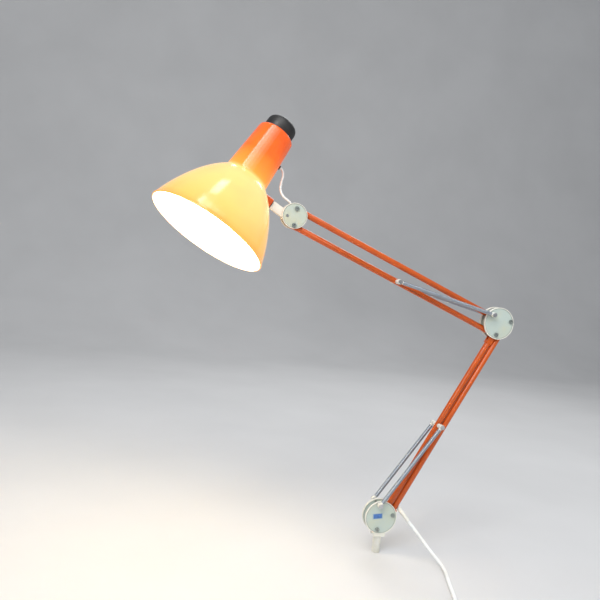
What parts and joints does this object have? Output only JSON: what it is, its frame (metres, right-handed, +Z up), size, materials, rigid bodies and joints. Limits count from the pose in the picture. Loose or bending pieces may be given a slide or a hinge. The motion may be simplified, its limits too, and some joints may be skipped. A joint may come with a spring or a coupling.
{
  "type": "desk lamp",
  "caption": "Spring-balanced desk lamp: a post carries two parallelogram arms between disc joints, with a tilting and swivelling translucent plastic shade.",
  "frame": {"origin": "centre of the lower end of the post that plugs into a table clamp or wall socket", "axes": "+Z up the post; the arms move in the XZ plane, with the head towards -X; +Y away from the screw heads"},
  "size_m": [0.5686, 0.3512, 0.6398],
  "materials": {
    "pale_plastic": "satin, pale grey-green",
    "white_plastic": "satin",
    "orange_lacquer": "gloss lacquer over drawn steel tube",
    "orange_plastic": "gloss, lets some light through",
    "black_plastic": "satin",
    "steel": "bright turned",
    "dark_steel": "blackened",
    "spring_steel": "bright drawn wire",
    "label": "printed film, plain blue",
    "bulb_glass": "frosted inside",
    "bulb_metal": "satin",
    "plug_metal": "bright",
    "wire": "matt flexible PVC, white"
  },
  "bodies": {
    "base": {"base_post": "pale_plastic", "base_disc_front": "pale_plastic", "base_disc_back": "pale_plastic", "base_bushes": "steel", "base_screws": "dark_steel", "base_nuts": "steel", "base_spring_studs": "steel", "base_label": "label", "mains_cord_run": "wire", "mains_cord_coil": "wire", "mains_cord_tail": "wire", "mains_plug_body": "white_plastic", "mains_plug_pins": "plug_metal"},
    "lower_arm": {"lower_arm_tube": "orange_lacquer", "lower_arm_ends": "orange_lacquer", "lower_spring_pin": "steel", "lower_spring_sleeves": "white_plastic"},
    "lower_link": {"lower_link_tube": "orange_lacquer", "lower_link_ends": "orange_lacquer", "cord_relief": "white_plastic", "lower_wire": "wire"},
    "elbow": {"elbow_disc_front": "pale_plastic", "elbow_disc_back": "pale_plastic", "elbow_bushes": "steel", "elbow_screws": "dark_steel", "elbow_nuts": "steel", "elbow_link_pin": "steel", "elbow_spring_studs": "steel"},
    "upper_arm": {"upper_arm_tube": "orange_lacquer", "upper_arm_ends": "orange_lacquer", "upper_spring_pin": "steel", "upper_spring_sleeves": "white_plastic"},
    "upper_link": {"upper_link_tube": "orange_lacquer", "upper_link_ends": "orange_lacquer", "upper_wire": "wire"},
    "head": {"head_disc_front": "pale_plastic", "head_disc_back": "pale_plastic", "head_bushes": "steel", "head_screws": "dark_steel", "head_nuts": "steel", "tilt_bolt": "steel", "tilt_washers": "black_plastic", "head_wire_arm": "wire"},
    "bracket": {"head_bracket": "white_plastic", "swivel_bolt": "steel", "swivel_washer": "black_plastic"},
    "shade": {"shade": "orange_plastic", "lampholder": "black_plastic", "bulb_glass": "bulb_glass", "bulb_cap": "bulb_metal", "end_cap": "black_plastic", "switch_body": "white_plastic", "head_wire_shade": "wire"},
    "switch": {"switch_button": "black_plastic"},
    "lower_spring": {"lower_spring_coils": "spring_steel", "lower_spring_low_eyes": "white_plastic", "lower_spring_top_eyes": "white_plastic"},
    "upper_spring": {"upper_spring_coils": "spring_steel", "upper_spring_low_eyes": "white_plastic"},
    "upper_spring_top": {"upper_spring_top_eyes": "white_plastic"}
  },
  "joints": [
    {"name": "lower_arm", "type": "hinge", "parent": "base", "child": "lower_arm", "pos_m": [-0.0045, 0, 0.0378], "axis": [0, -1, 0], "range_deg": [0, 53]},
    {"name": "lower_link", "type": "hinge", "parent": "base", "child": "lower_link", "pos_m": [0.0185, 0, 0.0598], "axis": [0, -1, 0], "range_deg": [0, 53]},
    {"name": "elbow_level", "type": "hinge", "parent": "lower_arm", "child": "elbow", "pos_m": [0.15912, 0, 0.34946], "axis": [0, -1, 0], "range_deg": [-53, 0]},
    {"name": "upper_arm", "type": "hinge", "parent": "elbow", "child": "upper_arm", "pos_m": [0.15912, 0, 0.34946], "axis": [0, -1, 0], "range_deg": [-40, 25]},
    {"name": "upper_link", "type": "hinge", "parent": "elbow", "child": "upper_link", "pos_m": [0.16132, 0, 0.37376], "axis": [0, -1, 0], "range_deg": [-40, 25]},
    {"name": "head_level", "type": "hinge", "parent": "upper_arm", "child": "head", "pos_m": [-0.17966, 0, 0.48257], "axis": [0, -1, 0], "range_deg": [-25, 40]},
    {"name": "head_tilt", "type": "hinge", "parent": "head", "child": "bracket", "pos_m": [-0.19046, 0, 0.49537], "axis": [0, -1, 0], "range_deg": [-35, 35], "deforming": ["head_wire_arm"]},
    {"name": "shade_swivel", "type": "hinge", "parent": "bracket", "child": "shade", "pos_m": [-0.19046, 0, 0.49537], "axis": [-0.8643, 0, 0.503], "range_deg": [-70, 50], "deforming": ["head_wire_shade"]},
    {"name": "switch_press", "type": "slide", "parent": "shade", "child": "switch", "axis": [-0.4943, -0.1857, -0.8492], "range_m": [0, 0.003], "stiffness_N_per_m": 400, "springref_m": -0.002},
    {"name": "lower_spring_swing", "type": "hinge", "parent": "base", "child": "lower_spring", "pos_m": [-0.0059, 0, 0.0768], "axis": [0, -1, 0], "range_deg": [0, 66.13], "deforming": ["lower_spring_coils", "lower_spring_top_eyes"]},
    {"name": "upper_spring_swing", "type": "hinge", "parent": "elbow", "child": "upper_spring", "pos_m": [0.14807, 0, 0.38031], "axis": [0, -1, 0], "range_deg": [-44.95, 28.1], "deforming": ["upper_spring_coils"]},
    {"name": "upper_spring_stretch", "type": "slide", "parent": "upper_spring", "child": "upper_spring_top", "axis": [-0.9751, 0, 0.2218], "range_m": [-0.01601, 0.01001], "deforming": ["upper_spring_top_eyes"]}
  ],
  "couplings": [
    {"joint": "lower_link", "follows": "lower_arm", "ratio": 1},
    {"joint": "elbow_level", "follows": "lower_arm", "ratio": -1},
    {"joint": "lower_spring_swing", "follows": "lower_arm", "ratio": 1.2475},
    {"joint": "upper_link", "follows": "upper_arm", "ratio": 1},
    {"joint": "head_level", "follows": "upper_arm", "ratio": -1},
    {"joint": "upper_spring_swing", "follows": "upper_arm", "ratio": 1.1235},
    {"joint": "upper_spring_stretch", "follows": "upper_arm", "m_per_rad": 0.02292}
  ]
}
